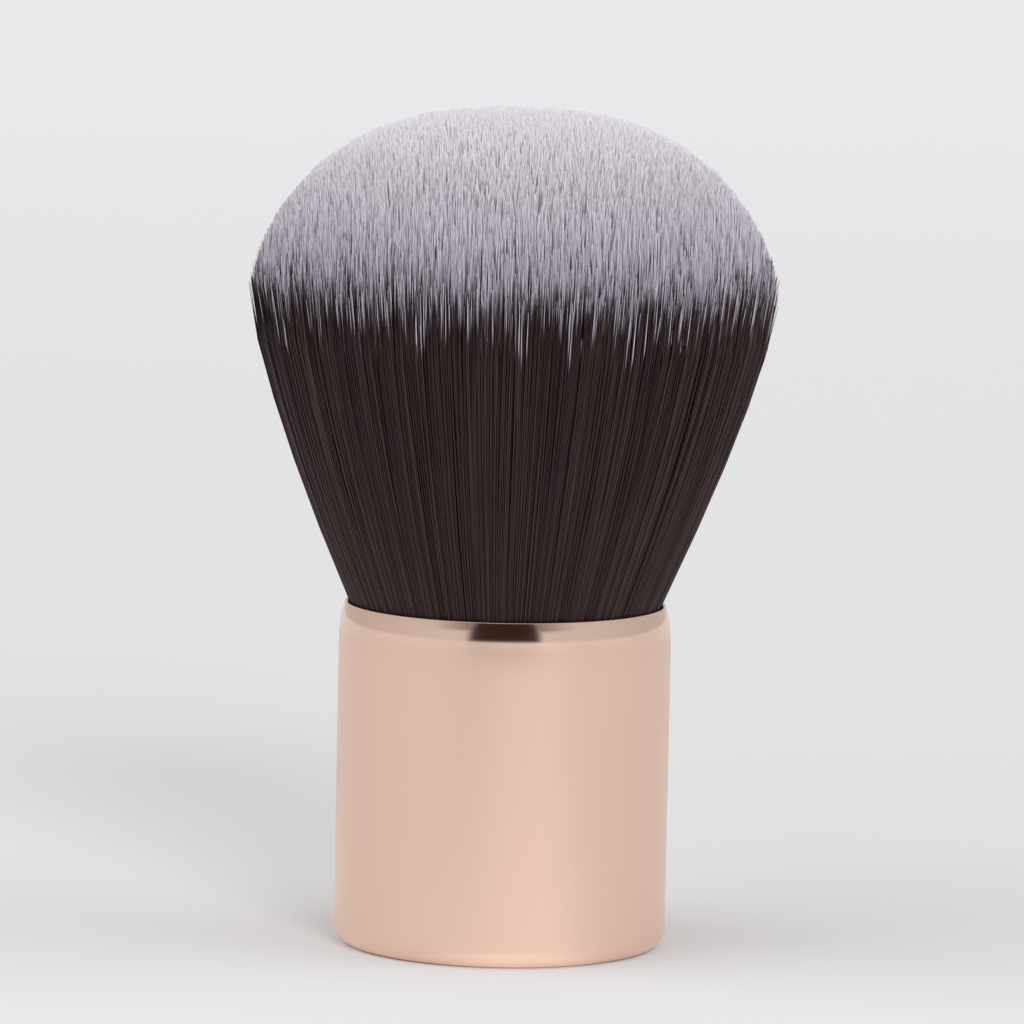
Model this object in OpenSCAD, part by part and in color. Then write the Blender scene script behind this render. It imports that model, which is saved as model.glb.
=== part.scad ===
// Kabuki makeup brush: a dense round bristle knot in a short metal barrel.
// The origin is at the centre of the base, on the face that the brush stands on.
// +Z runs up to the bristle tips.

/* [Handle] */
// Outside diameter of the barrel
handle_d = 30; // [30:0.5:32]
// Height of the barrel, from its base to its mouth
handle_h = 31; // [30:0.5:32]
// Wall of the barrel
handle_wall = 1; // [0.8:0.1:1.2]
// Thickness of the closed base
base_t = 1.2; // [1:0.1:1.6]
// Radius of the rounded edge round the base
base_edge_r = 1.5; // [1:0.1:2]
// Radius of the rolled shoulder below the mouth
shoulder_r = 3.3; // [3:0.1:4]
// Height of the rolled shoulder
shoulder_h = 1.8; // [1:0.1:1.8]
// Width of the bare metal edge at the mouth
mouth_edge_t = 0.25; // [0.2:0.05:0.4]

/* [Bristle head] */
// Diameter of the head at its widest place
head_d = 47.2; // [45:0.2:47.6]
// Height of the widest place above the mouth
head_wide_h = 28.2; // [27:0.2:30]
// Height of the dome above the widest place
dome_h = 16.5; // [15:0.5:19]
// How fast the flare slows down on its way up, 1 for a straight cone
flare_bend = 1.34; // [1.1:0.02:1.44]
// How flat the top of the dome is, 2 for an ellipse
dome_flatness = 2.6; // [2:0.1:3]
// How steep the side of the dome is, 2 for an ellipse
dome_steepness = 1.58; // [1.4:0.02:2]

/* [Bristle strands] */
// Rings of strands round the centre one
strand_rings = 12; // [10:1:12]
// How far in every second strand of a ring lies, as a share of the ring's radius
ring_zigzag = 0.008; // [0:0.002:0.008]
// Radius of a strand in the resin, as a share of the step from ring to ring there
root_fill = 0.32; // [0.2:0.02:0.32]
// Radius of a strand at its widest, just below the tip, as a share of the step from ring to ring there
wide_fill = 0.54; // [0.3:0.02:0.54]
// Length of the tapered tip of a strand
strand_tip_l = 1.6; // [1:0.2:3]

/* [Parts inside the handle] */
// Diameter of the steel weight
weight_d = 22; // [18:0.5:22]
// Height of the steel weight
weight_h = 6; // [4:0.5:7]
// Height of the moulded core that carries the knot
core_h = 13.8; // [12:0.2:14]
// Wall of the moulded core
core_wall = 1.5; // [1.2:0.1:1.8]
// Ribs in the top of the moulded core
core_ribs = 6; // [4:1:8]
// Height of the cup that holds the knot
cup_h = 9.7; // [9:0.1:10]
// Sheet thickness of the knot cup
cup_t = 0.4; // [0.3:0.05:0.5]
// Thickness of the resin-soaked root of the knot
root_t = 3; // [2.5:0.5:3.5]
// Turns of the thread round the root
thread_turns = 5; // [4:1:6]

/* [Hidden] */
$fn = 96;

// Radii of the barrel
handle_r = handle_d / 2;
bore_r = handle_r - handle_wall;
mouth_r = handle_r - shoulder_r + sqrt(pow(shoulder_r, 2) - pow(shoulder_h, 2));
mouth_bore_r = mouth_r - mouth_edge_t;
mouth_flare_h = 1;
inner_corner_r = 0.6;

// Stack of parts inside, from the base up
tape_t = 0.5;
tape_margin = 0.5;
tape_r = weight_d / 2 - tape_margin;
weight_z = base_t + tape_t;
weight_chamfer = 0.4;
slip = 0.1;
core_r = bore_r - slip;
core_top_z = base_t + core_h;
core_chamfer = 0.8;
pocket_top_z = weight_z + weight_h + slip;
deck_t = 1.4;
boss_r = 2.5;
rib_t = 1.2;
rib_drop = 0.6;
rib_bite = 0.7;
glue_t = 0.3;
cup_z = core_top_z + glue_t;
cup_r = core_r - slip;
cup_bore_r = cup_r - cup_t;
crimp_rise = 6;
crimp_z = cup_z + crimp_rise;
crimp_depth = 0.45;
crimp_r = 0.9;
plug_t = 1;
root_z = cup_z + cup_t + plug_t;
root_top_z = root_z + root_t;
thread_d = 0.5;
thread_gap = 0.3;
root_r = cup_bore_r - thread_d - thread_gap;

// How far a cutting shape runs past the surface that it cuts
overrun = 1;

// Bristle head
head_r = head_d / 2;
wide_z = handle_h + head_wide_h;
strand_base_z = root_z + root_t / 2;
bundle_gap = 0.2;
root_edge_r = root_r - bundle_gap;
mouth_edge_r = mouth_bore_r - bundle_gap;
golden_turn = 137.5;
strand_root_r = root_fill * root_edge_r / strand_rings;
strand_wide_r = wide_fill * head_r / strand_rings;
root_gap = 0.05;
middle_rings = [round(strand_rings / 2), strand_rings - 2];
straight_rings = 3;

// How many strands a ring has more than the one inside it
ring_growth = 6;

// Heights, as shares of the flare, at which the outermost ring bends and at which the next one in does
outermost_bends = [0.42, 0.82];
next_bends = [0.62];

// Share of the bundle's radius at which the tips of the outermost ring meet the dome
rim_share = 0.97;

// Radius of the outside of the bundle at height z, up the handle, along the flare and straight above it
function bundle_r(z) =
  z < handle_h
    ? root_edge_r + (mouth_edge_r - root_edge_r) * (z - strand_base_z) / (handle_h - strand_base_z)
    : z < wide_z
      ? head_r - (head_r - mouth_edge_r) * pow(1 - (z - handle_h) / head_wide_h, flare_bend)
      : head_r;

// Height of the dome over a strand that lies at this share of the bundle's radius
function dome_z(share) = wide_z + dome_h * pow(1 - pow(share, dome_flatness), 1 / dome_steepness);

// Height of the tip of a strand
function tip_z(share) = dome_z(rim_share * share);

// Strands in a ring, and the share of the bundle's radius at which each lies
function ring_count(ring) = max(1, ring * ring_growth);
function strand_share(ring, i) = ring / strand_rings * (1 - (i % 2) * ring_zigzag);

// Direction of a strand: the golden angle between one ring and the next keeps them out of line
function strand_turn(ring, i) = golden_turn * ring + 360 * i / ring_count(ring);

// How far up a strand height z lies, from 0 at its root to 1 at the head's widest place
function strand_climb(z) = min(1, max(0, (z - strand_base_z) / (wide_z - strand_base_z)));

// Radius of a strand at height z, growing from its root to its tip
function strand_r(z) = strand_root_r + (strand_wide_r - strand_root_r) * strand_climb(z);

// Distance of a strand from the axis: its flat side faces out and stays inside the bundle
function strand_axis_r(share, z) = share * (bundle_r(z) - strand_r(z) / 2);

// Bends of a ring along the flare, as shares of its height
function flare_bends(ring) =
  ring == strand_rings ? outermost_bends
  : ring == strand_rings - 1 ? next_bends
  : [];

// Heights at which a strand bends: the ones round the axis run straight,
// and the others bend at the mouth and above it
function bend_heights(ring) =
  ring < straight_rings
    ? []
    : concat([handle_h], [for (bend = flare_bends(ring)) handle_h + bend * head_wide_h]);

// Heights of the three-cornered sections of a strand
function section_heights(ring, share) =
  concat([strand_base_z], bend_heights(ring), [tip_z(share) - strand_tip_l]);

// Corners of one strand, section by section, then its tip
function strand_points(ring, i) =
  let (share = strand_share(ring, i), turn = strand_turn(ring, i))
  concat(
    [
      for (z = section_heights(ring, share))
        for (corner = [0:2])
          let (
            axis_r = strand_axis_r(share, z),
            angle = turn + 60 + 120 * corner,
            r = strand_r(z)
          )
          [axis_r * cos(turn) + r * cos(angle), axis_r * sin(turn) + r * sin(angle), z]
    ],
    [
      let (axis_r = strand_axis_r(share, wide_z))
      [axis_r * cos(turn), axis_r * sin(turn), tip_z(share)]
    ]
  );

// Triangles of one strand, whose first corner has this number
function strand_faces(first, sections) =
  concat(
    [[first, first + 1, first + 2]],
    [
      for (section = [0:sections - 2])
        for (corner = [0:2])
          for (half = [0:1])
            let (
              a = first + 3 * section + corner,
              b = first + 3 * section + (corner + 1) % 3
            )
            half == 0 ? [a, a + 3, b] : [b, a + 3, b + 3]
    ],
    [
      for (corner = [0:2])
        let (last = first + 3 * (sections - 1))
        [last + corner, first + 3 * sections, last + (corner + 1) % 3]
    ]
  );

// All the strands of some rings
module strands(rings) {
  for (ring = rings) {
    last = ring_count(ring) - 1;
    sections = len(section_heights(ring, 1));
    corners = 3 * sections + 1;
    points = [for (i = [0:last]) each strand_points(ring, i)];
    faces = [for (i = [0:last]) each strand_faces(i * corners, sections)];
    polyhedron(points, faces, convexity = 10);
  }
}

// Resin-soaked root of some rings, a slice of the knot's backing
module root_slice(inner_r, outer_r) {
  translate([0, 0, root_z])
    difference() {
      cylinder(h = root_t, r = outer_r, $fn = 48);
      if (inner_r > 0)
        translate([0, 0, -overrun]) cylinder(h = root_t + 2 * overrun, r = inner_r, $fn = 48);
    }
}

// Radius of the cut between a ring of strands and the next one out, in the root
function cut_r(ring) =
  let (
    inside_r = strand_axis_r(strand_share(ring, 0), root_top_z) + strand_root_r / 2,
    outside_r = strand_axis_r(strand_share(ring + 1, 1), strand_base_z) - strand_root_r
  )
  (inside_r + outside_r) / 2;

module bristle_group(first, last) {
  inner_r = first == 0 ? 0 : cut_r(first - 1) + root_gap / 2;
  outer_r = last == strand_rings ? root_r : cut_r(last) - root_gap / 2;
  union() {
    root_slice(inner_r, outer_r);
    strands([first:last]);
  }
}

// Outline of the barrel: straight wall, rounded base edge and rolled shoulder
module handle_outline() {
  square([handle_r - base_edge_r, handle_h - shoulder_h]);
  translate([0, base_edge_r]) square([handle_r, handle_h - shoulder_h - base_edge_r]);
  translate([handle_r - base_edge_r, base_edge_r]) circle(r = base_edge_r);
  intersection() {
    translate([handle_r - shoulder_r, handle_h - shoulder_h]) circle(r = shoulder_r);
    translate([0, handle_h - shoulder_h]) square([handle_r, shoulder_h]);
  }
}

// Inside of the barrel: a bore with a rounded bottom corner that opens a little at the mouth
module handle_bore() {
  flare_z = handle_h - mouth_flare_h;
  translate([0, base_t]) square([bore_r - inner_corner_r, handle_h]);
  translate([0, base_t + inner_corner_r]) square([bore_r, handle_h]);
  translate([bore_r - inner_corner_r, base_t + inner_corner_r]) circle(r = inner_corner_r);
  polygon([
    [0, flare_z], [bore_r, flare_z], [mouth_bore_r, handle_h],
    [mouth_bore_r, handle_h + overrun], [0, handle_h + overrun]
  ]);
}

module handle_shell() {
  color([0.88, 0.70, 0.60])
    rotate_extrude()
      difference() {
        handle_outline();
        handle_bore();
      }
}

module base_tape() {
  color("white")
    translate([0, 0, base_t]) cylinder(h = tape_t, r = tape_r);
}

module base_weight() {
  weight_r = weight_d / 2;
  color("slategray")
    translate([0, 0, weight_z])
      rotate_extrude()
        polygon([
          [0, 0], [weight_r - weight_chamfer, 0], [weight_r, weight_chamfer],
          [weight_r, weight_h - weight_chamfer], [weight_r - weight_chamfer, weight_h], [0, weight_h]
        ]);
}

// Moulded core: a pocket for the weight below a deck, and ribs and a boss above it
module handle_core() {
  deck_top_z = pocket_top_z + deck_t;
  rib_top_z = core_top_z - rib_drop;
  boss_top_z = rib_top_z - rib_drop;
  core_bore_r = core_r - core_wall;
  pocket_r = weight_d / 2 + slip;
  color("dimgray")
    union() {
      rotate_extrude()
        difference() {
          polygon([
            [0, base_t], [core_r - core_chamfer, base_t], [core_r, base_t + core_chamfer],
            [core_r, core_top_z], [0, core_top_z]
          ]);
          translate([-overrun, base_t - overrun])
            square([pocket_r + overrun, pocket_top_z - base_t + overrun]);
          translate([boss_r, deck_top_z]) square([core_bore_r - boss_r, core_h]);
          translate([-overrun, boss_top_z]) square([boss_r + 2 * overrun, core_h]);
        }
      for (i = [0:core_ribs - 1])
        rotate([0, 0, 360 * i / core_ribs])
          translate([boss_r - rib_bite, -rib_t / 2, deck_top_z - rib_bite])
            cube([core_bore_r - boss_r + 2 * rib_bite, rib_t, rib_top_z - deck_top_z + rib_bite]);
    }
}

module core_adhesive() {
  color("gold")
    translate([0, 0, core_top_z])
      difference() {
        cylinder(h = glue_t, r = cup_r);
        translate([0, 0, -overrun]) cylinder(h = glue_t + 2 * overrun, r = core_r - core_wall);
      }
}

// Section of the groove rolled into the knot cup, or of the bulge that it makes inside
module crimp_section(r) {
  translate([cup_r + crimp_r - crimp_depth, crimp_z]) circle(r = r, $fn = 32);
}

// Drawn cup of thin sheet with a rolled-in groove that grips the knot
module knot_cup() {
  color("silver")
    rotate_extrude()
      difference() {
        translate([0, cup_z]) square([cup_r, cup_h]);
        difference() {
          translate([0, cup_z + cup_t]) square([cup_bore_r, cup_h]);
          crimp_section(crimp_r + cup_t);
        }
        crimp_section(crimp_r);
      }
}

// Bead of glue that fills the groove of the cup and bonds it to the barrel
module rim_adhesive() {
  color("gold")
    rotate_extrude()
      intersection() {
        crimp_section(crimp_r);
        translate([0, crimp_z - crimp_r]) square([bore_r, 2 * crimp_r]);
      }
}

module resin_plug() {
  color("khaki")
    translate([0, 0, cup_z + cup_t]) cylinder(h = plug_t, r = cup_bore_r);
}

// Thread wound tight round the root, turn beside turn
module knot_binding() {
  color("ivory")
    rotate_extrude()
      difference() {
        union() {
          for (turn = [0:thread_turns - 1])
            translate([root_r + thread_d / 2, root_z + thread_d * (turn + 0.5)])
              circle(r = thread_d / 2, $fn = 16);
          translate([root_r, root_z])
            square([thread_d / 2, thread_d * thread_turns]);
        }
        translate([0, root_z - overrun]) square([root_r, root_t + 2 * overrun]);
      }
}

module bristles_outer() {
  color([0.20, 0.14, 0.13]) bristle_group(middle_rings[1] + 1, strand_rings);
}

module bristles_middle() {
  color([0.20, 0.14, 0.13]) bristle_group(middle_rings[0], middle_rings[1]);
}

module bristles_inner() {
  color([0.20, 0.14, 0.13]) bristle_group(0, middle_rings[0] - 1);
}

handle_shell();
base_tape();
base_weight();
handle_core();
core_adhesive();
knot_cup();
rim_adhesive();
resin_plug();
knot_binding();
bristles_outer();
bristles_middle();
bristles_inner();
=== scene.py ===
import math

import bmesh
import bpy
from mathutils import Matrix, Vector


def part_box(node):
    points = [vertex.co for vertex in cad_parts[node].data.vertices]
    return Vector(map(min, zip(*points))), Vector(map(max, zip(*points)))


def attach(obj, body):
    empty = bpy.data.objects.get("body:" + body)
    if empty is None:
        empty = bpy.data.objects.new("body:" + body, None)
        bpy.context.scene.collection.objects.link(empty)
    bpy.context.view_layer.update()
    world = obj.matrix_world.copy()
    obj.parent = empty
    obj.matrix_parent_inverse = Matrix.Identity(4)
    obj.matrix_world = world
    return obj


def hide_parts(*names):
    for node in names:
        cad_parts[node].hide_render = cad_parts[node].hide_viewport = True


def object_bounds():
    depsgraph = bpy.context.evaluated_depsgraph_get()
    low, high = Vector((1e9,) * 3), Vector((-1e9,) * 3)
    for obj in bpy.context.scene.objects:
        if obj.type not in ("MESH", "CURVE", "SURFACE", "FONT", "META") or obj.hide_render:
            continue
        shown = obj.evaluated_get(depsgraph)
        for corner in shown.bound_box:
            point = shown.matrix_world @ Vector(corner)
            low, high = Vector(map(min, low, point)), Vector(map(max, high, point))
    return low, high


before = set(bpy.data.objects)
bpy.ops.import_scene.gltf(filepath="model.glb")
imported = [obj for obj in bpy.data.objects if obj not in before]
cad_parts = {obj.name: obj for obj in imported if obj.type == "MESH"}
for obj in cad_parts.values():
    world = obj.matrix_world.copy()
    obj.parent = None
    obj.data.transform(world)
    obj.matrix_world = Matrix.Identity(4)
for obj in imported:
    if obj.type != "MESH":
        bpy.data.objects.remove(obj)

bl_info = {
    "name": "Kabuki makeup brush",
    "version": (1, 0, 0),
    "blender": (4, 5, 0),
    "location": "View3D > Sidebar > Kabuki brush",
    "description": "Dresses a kabuki makeup brush: barrel, bristle head, inner parts and studio",
    "category": "Object",
}

# The frame's box, and the sizes that the pieces take from it
CAD_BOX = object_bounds()
BARREL_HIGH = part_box("handle_shell")[1]
BARREL_R = BARREL_HIGH.x
MOUTH_Z = BARREL_HIGH.z
ROOT_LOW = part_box("bristles_inner")[0]
BINDING_LOW, BINDING_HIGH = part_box("knot_binding")
HEAD_TOP_Z = CAD_BOX[1].z
MM = 0.001


class BarrelSettings(bpy.types.PropertyGroup):
    wall: bpy.props.FloatProperty(
        name="Wall", description="Thickness of the barrel's wall", default=1.0 * MM, unit="LENGTH")
    base_thickness: bpy.props.FloatProperty(
        name="Base", description="Thickness of the closed base", default=1.2 * MM, unit="LENGTH")
    base_edge_radius: bpy.props.FloatProperty(
        name="Base edge", description="Radius of the rounded edge round the base", default=1.5 * MM,
        unit="LENGTH")
    shoulder_radius: bpy.props.FloatProperty(
        name="Shoulder radius", description="Radius of the rolled shoulder at the mouth",
        default=4.8 * MM, unit="LENGTH")
    shoulder_height: bpy.props.FloatProperty(
        name="Shoulder height", description="Height of the rolled shoulder", default=1.8 * MM, unit="LENGTH")
    ease_height: bpy.props.FloatProperty(
        name="Ease height", description="Height below the shoulder over which the wall starts to lean in",
        default=3.2 * MM, unit="LENGTH")
    ease_turn: bpy.props.FloatProperty(
        name="Ease angle", description="How far the wall leans in where the shoulder starts",
        default=math.radians(3), subtype="ANGLE")
    mouth_edge: bpy.props.FloatProperty(
        name="Mouth edge", description="Width of the bare metal edge at the mouth", default=0.25 * MM,
        unit="LENGTH")
    colour: bpy.props.FloatVectorProperty(
        name="Metal", description="Colour of the satin rose gold metal", subtype="COLOR",
        default=(0.886, 0.636, 0.512))
    satin_roughness: bpy.props.FloatProperty(
        name="Satin roughness", description="Roughness of the satin wall", default=0.32, subtype="FACTOR")
    polish_roughness: bpy.props.FloatProperty(
        name="Polish roughness", description="Roughness of the polished shoulder", default=0.13,
        subtype="FACTOR")


class BristleSettings(bpy.types.PropertyGroup):
    outer_fibres: bpy.props.IntProperty(
        name="Outer fibres", description="Fibres in each outer layer", default=5200)
    inner_fibres: bpy.props.IntProperty(
        name="Inner fibres", description="Fibres in each inner layer", default=13500)
    outer_layers: bpy.props.IntProperty(
        name="Outer layers", description="Layers whose fibres show on the side of the head", default=5)
    inner_layers: bpy.props.IntProperty(
        name="Inner layers", description="Layers that show only their tips", default=4)
    outer_points: bpy.props.IntProperty(
        name="Outer points", description="Points along a fibre of the outer layers", default=7)
    inner_points: bpy.props.IntProperty(
        name="Inner points", description="Points along a fibre of the inner layers", default=3)
    fibre_radius: bpy.props.FloatProperty(
        name="Fibre radius", description="Radius of an outer fibre", default=0.07 * MM, unit="LENGTH")
    inner_fibre_radius: bpy.props.FloatProperty(
        name="Inner fibre radius", description="Radius of an inner fibre", default=0.085 * MM,
        unit="LENGTH")
    root_radius: bpy.props.FloatProperty(
        name="Root radius", description="Radius of the bundle in the resin", default=12.4 * MM, unit="LENGTH")
    mouth_radius: bpy.props.FloatProperty(
        name="Mouth radius", description="Radius of the bundle in the mouth of the barrel",
        default=14.05 * MM, unit="LENGTH")
    head_radius: bpy.props.FloatProperty(
        name="Head radius", description="Radius of the head at its widest place", default=23.55 * MM,
        unit="LENGTH")
    wide_height: bpy.props.FloatProperty(
        name="Widest height", description="Height of the widest place above the mouth",
        default=28.2 * MM, unit="LENGTH")
    flare_bend: bpy.props.FloatProperty(
        name="Flare bend", description="How fast the flare slows down on its way up", default=1.34)
    dome_flatness: bpy.props.FloatProperty(
        name="Dome flatness", description="How flat the top of the dome is, 2 for an ellipse", default=2.6)
    dome_steepness: bpy.props.FloatProperty(
        name="Dome steepness", description="How steep the side of the dome is, 2 for an ellipse",
        default=1.58)
    tip_inset: bpy.props.FloatProperty(
        name="Tip inset", description="How far below the dome the shortest fibres end", default=1.8 * MM,
        unit="LENGTH")
    tip_thickness: bpy.props.FloatProperty(
        name="Tip thickness", description="Thickness of a fibre's tip, as a share of the fibre's own",
        default=0.3, subtype="FACTOR")
    lock_size: bpy.props.FloatProperty(
        name="Lock size", description="Width of the locks that the fibres gather in, at the root",
        default=1.1 * MM, unit="LENGTH")
    lock_pull: bpy.props.FloatProperty(
        name="Lock pull", description="How far a lock draws its fibres at the tip", default=0.4 * MM,
        unit="LENGTH")
    stray: bpy.props.FloatProperty(
        name="Stray", description="How far a single fibre strays at the tip", default=0.26 * MM,
        unit="LENGTH")
    tip_spread: bpy.props.FloatProperty(
        name="Tip spread", description="How far above and below the dome the even tips end",
        default=0.1 * MM, unit="LENGTH")
    lean: bpy.props.FloatProperty(
        name="Lean", description="How far the head leans to one side at its widest place", default=0.25 * MM,
        unit="LENGTH")
    tip_start: bpy.props.FloatProperty(
        name="Tip colour height", description="Height at which the pale tips start", default=60.6 * MM,
        unit="LENGTH")
    tip_scatter: bpy.props.FloatProperty(
        name="Tip colour scatter", description="How far the start of the pale tips varies among fibres",
        default=2.4 * MM, unit="LENGTH")
    dark_reach: bpy.props.FloatProperty(
        name="Dark reach", description="How much further up the dark length of a few fibres reaches",
        default=4.5 * MM, unit="LENGTH")
    pale_reach: bpy.props.FloatProperty(
        name="Pale reach", description="How much further down the pale tips of a few fibres reach",
        default=3.4 * MM, unit="LENGTH")
    dark: bpy.props.FloatVectorProperty(
        name="Dark fibre", description="Colour of the dark length of the fibres", subtype="COLOR",
        default=(0.026, 0.0136, 0.0146))
    warm: bpy.props.FloatVectorProperty(
        name="Warm fibre", description="Colour of the lighter fibres among the dark ones", subtype="COLOR",
        default=(0.064, 0.0325, 0.031))
    pale: bpy.props.FloatVectorProperty(
        name="Pale length", description="Colour of the pale length of a fibre where it starts",
        subtype="COLOR", default=(0.505, 0.463, 0.555))
    # The pale tip is the fibres' own colour; its lightening towards the top of the dome is painted top light
    bright: bpy.props.FloatVectorProperty(
        name="Bright tip", description="Colour of the longest tips, at the top of the dome", subtype="COLOR",
        default=(0.89, 0.866, 0.892))
    painted_light_rise: bpy.props.FloatProperty(
        name="Bright rise", description="Height over which the tips turn from pale to bright",
        default=12.5 * MM, unit="LENGTH")
    seed: bpy.props.IntProperty(name="Seed", description="Seed of everything random in the head", default=7)


class StudioSettings(bpy.types.PropertyGroup):
    floor_size: bpy.props.FloatProperty(
        name="Floor size", description="Side of the square floor", default=16.0, unit="LENGTH")
    # Painted light: the floor is painted lighter in front of the brush and far behind it than round it
    floor_colour: bpy.props.FloatVectorProperty(
        name="Floor", description="Colour of the floor round the brush", subtype="COLOR",
        default=(0.632, 0.625, 0.632))
    far_floor_painted_light: bpy.props.FloatVectorProperty(
        name="Far floor", description="Colour of the floor far behind the brush", subtype="COLOR",
        default=(0.676, 0.670, 0.678))
    near_floor_painted_light: bpy.props.FloatVectorProperty(
        name="Near floor", description="Colour of the floor in front of the brush", subtype="COLOR",
        default=(0.698, 0.690, 0.690))
    # Painted highlight: how strongly the floor glows for mirrors only, in front of the brush and round its
    # foot, to lighten the barrel's reflection
    mirror_glow: bpy.props.FloatProperty(
        name="Floor sheen", description="How much lighter the barrel mirrors the floor in front of it",
        default=0.23)
    foot_mirror_glow: bpy.props.FloatProperty(
        name="Foot sheen", description="How much lighter the barrel mirrors the floor close round its foot",
        default=0.08)
    front_colour: bpy.props.FloatVectorProperty(
        name="Front light", description="Light of the surround at the front", subtype="COLOR",
        default=(0.72, 0.73, 0.755))
    back_colour: bpy.props.FloatVectorProperty(
        name="Back light", description="Light of the surround at the back", subtype="COLOR",
        default=(0.59, 0.585, 0.58))
    top_colour: bpy.props.FloatVectorProperty(
        name="Top light", description="Light of the surround overhead", subtype="COLOR",
        default=(0.60, 0.60, 0.61))
    glow_strength: bpy.props.FloatProperty(
        name="Glow", description="How much brighter the surround is round the key light", default=0.2)
    glow_turn: bpy.props.FloatProperty(
        name="Glow turn", description="How far to the right of the camera the glow lies",
        default=math.radians(9), subtype="ANGLE")
    key_strength: bpy.props.FloatProperty(
        name="Key strength", description="Strength of the soft key light from the front right", default=1.2)
    fill_strength: bpy.props.FloatProperty(
        name="Fill strength", description="Strength of the broad fill light from the front left", default=0.5)
    left_strength: bpy.props.FloatProperty(
        name="Left strength", description="Strength of the light at the left side", default=1.3)
    right_strength: bpy.props.FloatProperty(
        name="Right strength", description="Strength of the light at the right side", default=1.1)
    # The dark card and band are a painted reflection: a dark patch of the surround that only mirrors see, for
    # the dark reflection in the polished mouth
    dark_patch_turn: bpy.props.FloatProperty(
        name="Card turn", description="Half of the angle that the dark card in front takes up",
        default=math.radians(25), subtype="ANGLE")
    dark_patch_high: bpy.props.FloatProperty(
        name="Card height", description="Height of the dark card's upper edge above the horizon",
        default=math.radians(50), subtype="ANGLE")
    dark_band_turn: bpy.props.FloatProperty(
        name="Shelf turn", description="Half of the angle that the darker band behind the card takes up",
        default=math.radians(58), subtype="ANGLE")
    view_distance: bpy.props.FloatProperty(
        name="View distance", description="Distance of the camera from the brush's axis", default=0.650,
        unit="LENGTH")
    view_height: bpy.props.FloatProperty(
        name="View height", description="Height on the axis that the camera looks at", default=39.2 * MM,
        unit="LENGTH")
    view_side: bpy.props.FloatProperty(
        name="View side", description="How far to the right of the axis the camera stands", default=0.42 * MM,
        unit="LENGTH")
    view_elevation: bpy.props.FloatProperty(
        name="View elevation", description="Angle at which the camera looks down", default=math.radians(6.5),
        subtype="ANGLE")
    view_roll: bpy.props.FloatProperty(
        name="View roll", description="How far the camera leans", default=math.radians(1.12), subtype="ANGLE")
    lens: bpy.props.FloatProperty(
        name="Lens", description="Focal length of the camera in millimetres, for its 36 mm sensor",
        default=253.6)


def settings():
    return bpy.context.scene.kabuki_barrel, bpy.context.scene.kabuki_bristles, bpy.context.scene.kabuki_studio


# Node trees

class Tree:
    """A node tree with short calls for its nodes and links."""

    def __init__(self, tree):
        self.tree = tree

    def node(self, kind, *inputs, **values):
        node = self.tree.nodes.new(kind)
        for name, value in values.items():
            setattr(node, name, value)
        for place, source in enumerate(inputs):
            if source is not None:
                self.feed(node.inputs[place], source)
        return node

    def feed(self, socket, source):
        if isinstance(source, bpy.types.NodeSocket):
            self.tree.links.new(source, socket)
        else:
            socket.default_value = source

    def math(self, operation, *inputs):
        return self.node("ShaderNodeMath", *inputs, operation=operation).outputs[0]

    def vector(self, operation, *inputs):
        return self.node("ShaderNodeVectorMath", *inputs, operation=operation).outputs[0]

    def scale(self, vector, factor):
        node = self.node("ShaderNodeVectorMath", vector, operation="SCALE")
        self.feed(node.inputs["Scale"], factor)
        return node.outputs[0]

    def combine(self, x, y, z):
        return self.node("ShaderNodeCombineXYZ", x, y, z).outputs[0]

    def split(self, vector):
        return self.node("ShaderNodeSeparateXYZ", vector).outputs

    def lerp(self, factor, low, high):
        """low + factor * (high - low), for numbers."""
        return self.math("MULTIPLY_ADD", factor, self.math("SUBTRACT", high, low), low)

    def map_range(self, value, start, end, low, high):
        return self.node("ShaderNodeMapRange", value, start, end, low, high).outputs["Result"]


def shader(name):
    """A new material with one Principled shader: the material, its tree and the shader."""
    material = bpy.data.materials.new(name)
    material.use_nodes = True
    tree = Tree(material.node_tree)
    principled = next(n for n in material.node_tree.nodes if n.type == "BSDF_PRINCIPLED")
    return material, tree, principled


def object_coordinates(tree):
    return tree.node("ShaderNodeTexCoord").outputs["Object"]


def colour_mix(tree, factor, first, second):
    mix = tree.node("ShaderNodeMix", data_type="RGBA")
    tree.feed(mix.inputs["Factor"], factor)
    colours = [s for s in mix.inputs if s.type == "RGBA"]
    for socket, colour in zip(colours, (first, second)):
        tree.feed(socket, colour if isinstance(colour, bpy.types.NodeSocket) else (*colour, 1.0))
    return next(s for s in mix.outputs if s.type == "RGBA")


def noise(tree, vector, scale, detail=2.0):
    node = tree.node("ShaderNodeTexNoise", vector)
    node.inputs["Scale"].default_value = scale
    node.inputs["Detail"].default_value = detail
    return node.outputs["Fac"]


def bump(tree, principled, height, distance, strength):
    node = tree.node("ShaderNodeBump")
    node.inputs["Strength"].default_value = strength
    node.inputs["Distance"].default_value = distance
    tree.feed(node.inputs["Height"], height)
    tree.feed(principled.inputs["Normal"], node.outputs["Normal"])


def smooth_step(tree, value, start, end):
    node = tree.node("ShaderNodeMapRange", interpolation_type="SMOOTHSTEP")
    tree.feed(node.inputs["Value"], value)
    tree.feed(node.inputs["From Min"], start)
    tree.feed(node.inputs["From Max"], end)
    return node.outputs["Result"]


# Materials

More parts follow.
